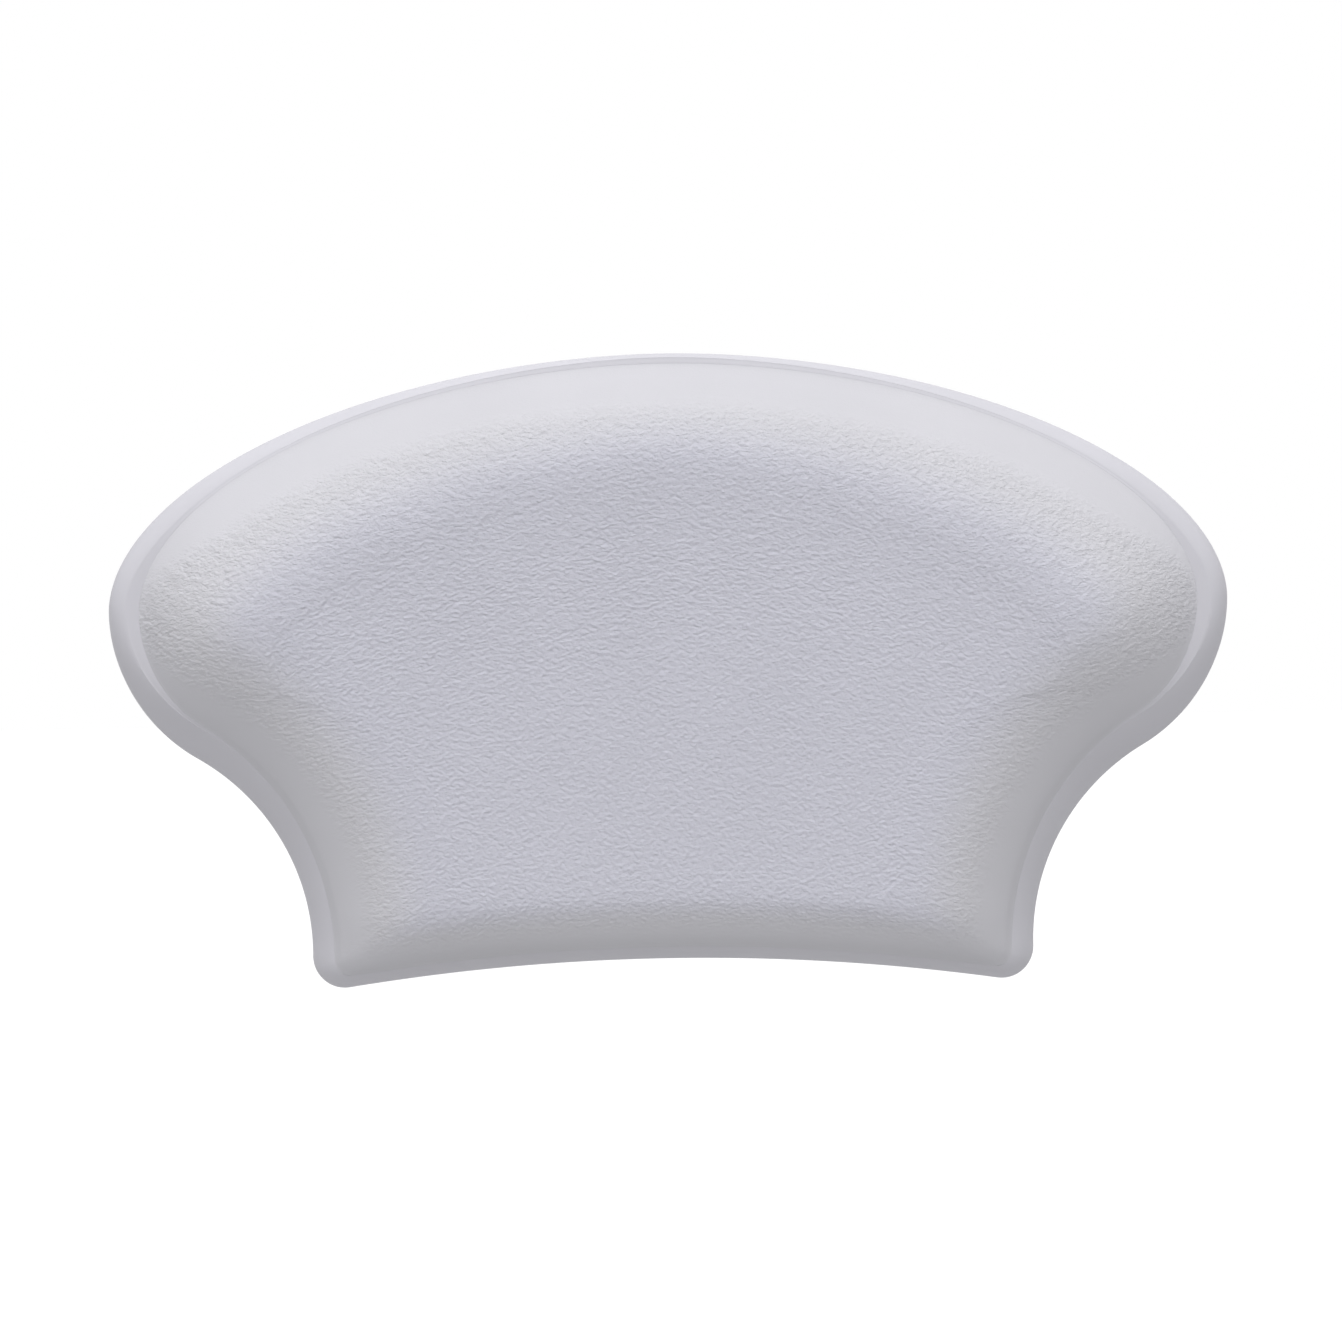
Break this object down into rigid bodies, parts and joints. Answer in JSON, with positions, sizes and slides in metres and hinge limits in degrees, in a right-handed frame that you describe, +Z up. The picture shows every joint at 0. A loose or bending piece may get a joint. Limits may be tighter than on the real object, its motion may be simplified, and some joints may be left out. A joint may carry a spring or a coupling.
{
  "type": "hot tub headrest",
  "caption": "Fan-shaped spa pillow: a cradle-shaped, grained foam pad in a back tray with a rolled rim, on a ribbed plate with split snap pins that push into holes in a tub's shell.",
  "frame": {"origin": "on the flat back that lies against the tub, midway across and midway up the outline, at the centre of the pin pattern", "axes": "+Z up in use, +X to the right as the face is seen, +Y backward into the tub's shell, so the face looks along -Y"},
  "size_m": [0.28, 0.0547, 0.1577],
  "materials": {
    "face_skin": "light grey self-skinned foam with a leather grain",
    "rim_foam": "light grey, smooth, satin",
    "core_foam": "off-white cellular foam",
    "plate_plastic": "dark grey moulded",
    "pin_plastic": "black moulded acetal",
    "fastener_steel": "stainless"
  },
  "bodies": {
    "root": {"back_tray": "rim_foam", "stiffener_plate": "plate_plastic", "foam_core": "core_foam", "face_skin": "face_skin", "snap_pin_upper_left": "pin_plastic", "pin_washer_upper_left": "fastener_steel", "pin_screw_upper_left": "fastener_steel", "snap_pin_upper_right": "pin_plastic", "pin_washer_upper_right": "fastener_steel", "pin_screw_upper_right": "fastener_steel", "snap_pin_lower_left": "pin_plastic", "pin_washer_lower_left": "fastener_steel", "pin_screw_lower_left": "fastener_steel", "snap_pin_lower_right": "pin_plastic", "pin_washer_lower_right": "fastener_steel", "pin_screw_lower_right": "fastener_steel"}
  },
  "joints": []
}
